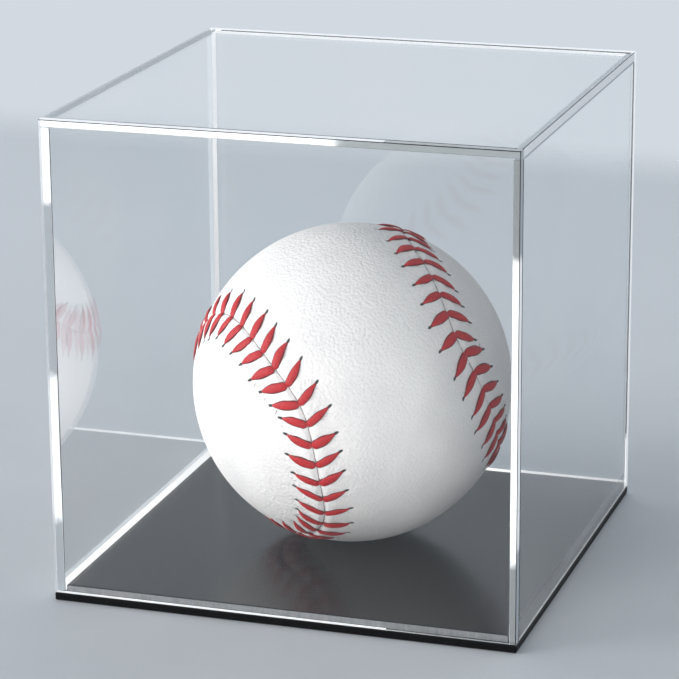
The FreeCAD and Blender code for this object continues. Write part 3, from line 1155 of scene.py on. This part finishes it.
def red_thread():
    """Waxed cotton thread: red, twisted, with a soft waxy shine."""
    material = new_material("waxed_red_cotton_thread")
    along, around, share = split(material, mark_on(material, "on_leg"))
    twist = maths(material, "ADD", along, maths(material, "MULTIPLY", around, PLY_SLANT))
    ply = maths(material, "SINE", maths(material, "MULTIPLY", twist, 2 * math.pi / PLY_MM))
    fibres = noise(material, place_on(material), 4, 3)
    height = maths(material, "ADD", maths(material, "MULTIPLY", ply, 0.5), fibres)
    red = ramp(material, fibres, (0.25, "#A00D14"), (0.75, "#C4161D"))
    shaded = mix(material, between(material, share, 0.9, 1.0, 0, 1), red, "#3A1413")
    # each leg is darker along its two edges
    side = maths(material, "COSINE", maths(material, "DIVIDE", around, ROUND_MM))
    edge = between(material, maths(material, "ABSOLUTE", side), 0.72, 0.95, 0, 0.85)
    return surface(material, Base_Color=mix(material, edge, shaded, "#4A1213"),
                   Roughness=0.55, Specular_IOR_Level=0.3,
                   Normal=bump(material, height, 0.5, 0.07 * MM))


THREAD = red_thread()
print("thread:", THREAD.name)

# %% [markdown]
# ## Lay every leg
# The one straight leg is copied twice for each stitch. Each copy, with a mesh
# of its own, is scaled, bowed a little and bent over the ball, and its end is
# sunk into its hole. The copies are then joined into one piece.

# %% Lay every leg
LIFT, BEDDED = 0.42 * LEG_HEIGHT, 0.12 * MM      # how the thread rises over the leather
ROOT_SINK, ROOT_TO = 0.1 * MM, 0.06              # and dives where the two legs meet
TIP_SINK, TIP_FROM = 0.45 * MM, 0.88             # and into its hole


def leg_lift(share):
    """The height of a leg's middle over the ball at a share of its length."""
    arch = math.sin(math.pi * min(1, 0.1 + 0.9 * share)) ** 0.5
    sink = (TIP_SINK * max(0, share - TIP_FROM) / (1 - TIP_FROM)
            + ROOT_SINK * max(0, ROOT_TO - share) / ROOT_TO)
    return LIFT * arch - BEDDED - sink


def lay_leg(leg, number):
    """A copy of the straight leg, shaped and bent to its place on the ball."""
    piece = leg_template.copy()
    piece.data = leg_template.data.copy()
    piece.name = f"leg_{number}"
    bpy.context.scene.collection.objects.link(piece)
    straight = read_points(piece)
    placed = np.zeros_like(straight)
    marks = np.zeros_like(straight)
    sideways = np.cross(leg["up"], leg["out"])
    for corner, (place, across, above) in enumerate(straight):
        share = 0.5 - 0.5 * math.cos(math.pi * place)    # rings crowd at both ends
        width = leg_profile(share) * leg["width"]
        distance = share * (leg["length"] + HOLE_BEYOND)
        bend = distance / BALL_RADIUS
        normal = leg["up"] * math.cos(bend) + leg["out"] * math.sin(bend)
        height = leg_lift(share) + above * LEG_HEIGHT / 2 * width
        bow = leg["bow"] * math.sin(math.pi * share)
        placed[corner] = (normal * (BALL_RADIUS + height)
                          + sideways * (across * LEG_HALF_WIDTH * width + bow))
        marks[corner] = (distance / MM, math.atan2(above, across) * ROUND_MM, share)
    write_points(piece, placed + np.array(BALL_CENTRE))
    mark = piece.data.attributes.new("on_leg", "FLOAT_VECTOR", "POINT")
    mark.data.foreach_set("vector", marks.astype(np.float32).ravel())
    return piece


def lay_thread():
    """All the legs, joined into one piece."""
    laid = [lay_leg(leg, number) for number, leg in enumerate(legs)]
    deselect()
    for piece in laid:
        piece.select_set(True)
    bpy.context.view_layer.objects.active = laid[0]
    bpy.ops.object.join()
    thread = bpy.context.object
    thread.name = "ball_stitch_thread"
    bpy.ops.object.shade_smooth()
    thread.data.materials.append(THREAD)
    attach(thread, "ball")
    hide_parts("ball_stitches")
    return thread


thread = lay_thread()
bpy.data.objects.remove(leg_template)
print("thread:", len(thread.data.polygons), "faces")

# %% [markdown]
# ## Inside the ball
# These layers are never seen while the ball is whole, but each is finished
# as what it is: ground cork bound in rubber, moulded rubber, wool and cotton
# yarn wound round and round.

# %% Materials inside the ball
WAVE_PER_SCALE = 3.2      # turns a thread's width into the wave texture's scale


def cork():
    """Ground cork bound in rubber: brown granules a few millimetres wide."""
    material = new_material("ground_cork_in_rubber")
    grains = add_node(material, "ShaderNodeTexVoronoi", Vector=place_on(material), Scale=0.7)
    tone = split(material, grains.outputs["Color"])["X"]
    colour = ramp(material, tone, (0.1, "#6B4A2C"), (0.5, "#A87B4E"), (0.9, "#C79B68"))
    return surface(material, Base_Color=colour, Roughness=0.8,
                   Normal=bump(material, grains.outputs["Distance"], 0.4, 0.2 * MM))


def rubber(name, dark, light):
    """Moulded rubber: dull, with a fine bloom."""
    material = new_material(name)
    bloom = noise(material, place_on(material), 0.8, 5)
    return surface(material, Base_Color=ramp(material, bloom, (0.35, dark), (0.7, light)),
                   Roughness=0.7, Normal=bump(material, bloom, 0.2, 0.05 * MM))


def yarn(name, thread_mm, dark, light):
    """Wound yarn: strands a thread apart that cross in two directions."""
    material = new_material(name)
    heights = []
    for turned in ((0.5, 0.3, 0), (-0.6, 0.4, 1.1)):
        wave = add_node(material, "ShaderNodeTexWave", {"wave_profile": "SIN"},
                        Vector=place_on(material, turned=turned),
                        Scale=1 / (thread_mm * WAVE_PER_SCALE), Distortion=2.5, Detail=2)
        heights.append(wave.outputs["Fac"])
    fibres = maths(material, "MULTIPLY", noise(material, place_on(material), 3, 4), 0.4)
    height = maths(material, "ADD", maths(material, "MAXIMUM", *heights), fibres)
    return surface(material, Base_Color=ramp(material, height, (0.3, dark), (0.9, light)),
                   Roughness=0.9, Sheen_Weight=0.3,
                   Normal=bump(material, height, 0.8, 0.3 * MM))


black_rubber = rubber("moulded_black_rubber", "#161617", "#2A2A2B")
red_rubber = rubber("moulded_red_rubber", "#7C1A17", "#A02B25")
grey_wool = yarn("wound_grey_wool", 1.2, "#55544F", "#94928B")
inside = {
    "ball_cork_core": cork(),
    "ball_rubber_half_lower": black_rubber,
    "ball_rubber_half_upper": black_rubber,
    "ball_rubber_washer": red_rubber,
    "ball_rubber_shell": red_rubber,
    "ball_winding_grey_inner": grey_wool,
    "ball_winding_white": yarn("wound_white_wool", 1.0, "#B9B5A8", "#EFECE2"),
    "ball_winding_grey_outer": grey_wool,
    "ball_winding_cotton": yarn("wound_fine_cotton", 0.4, "#C9C3B2", "#F3EFE3"),
}
for node, material in inside.items():
    dress(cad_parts[node], [material], lambda face: material)
print("inside layers:", len(inside))
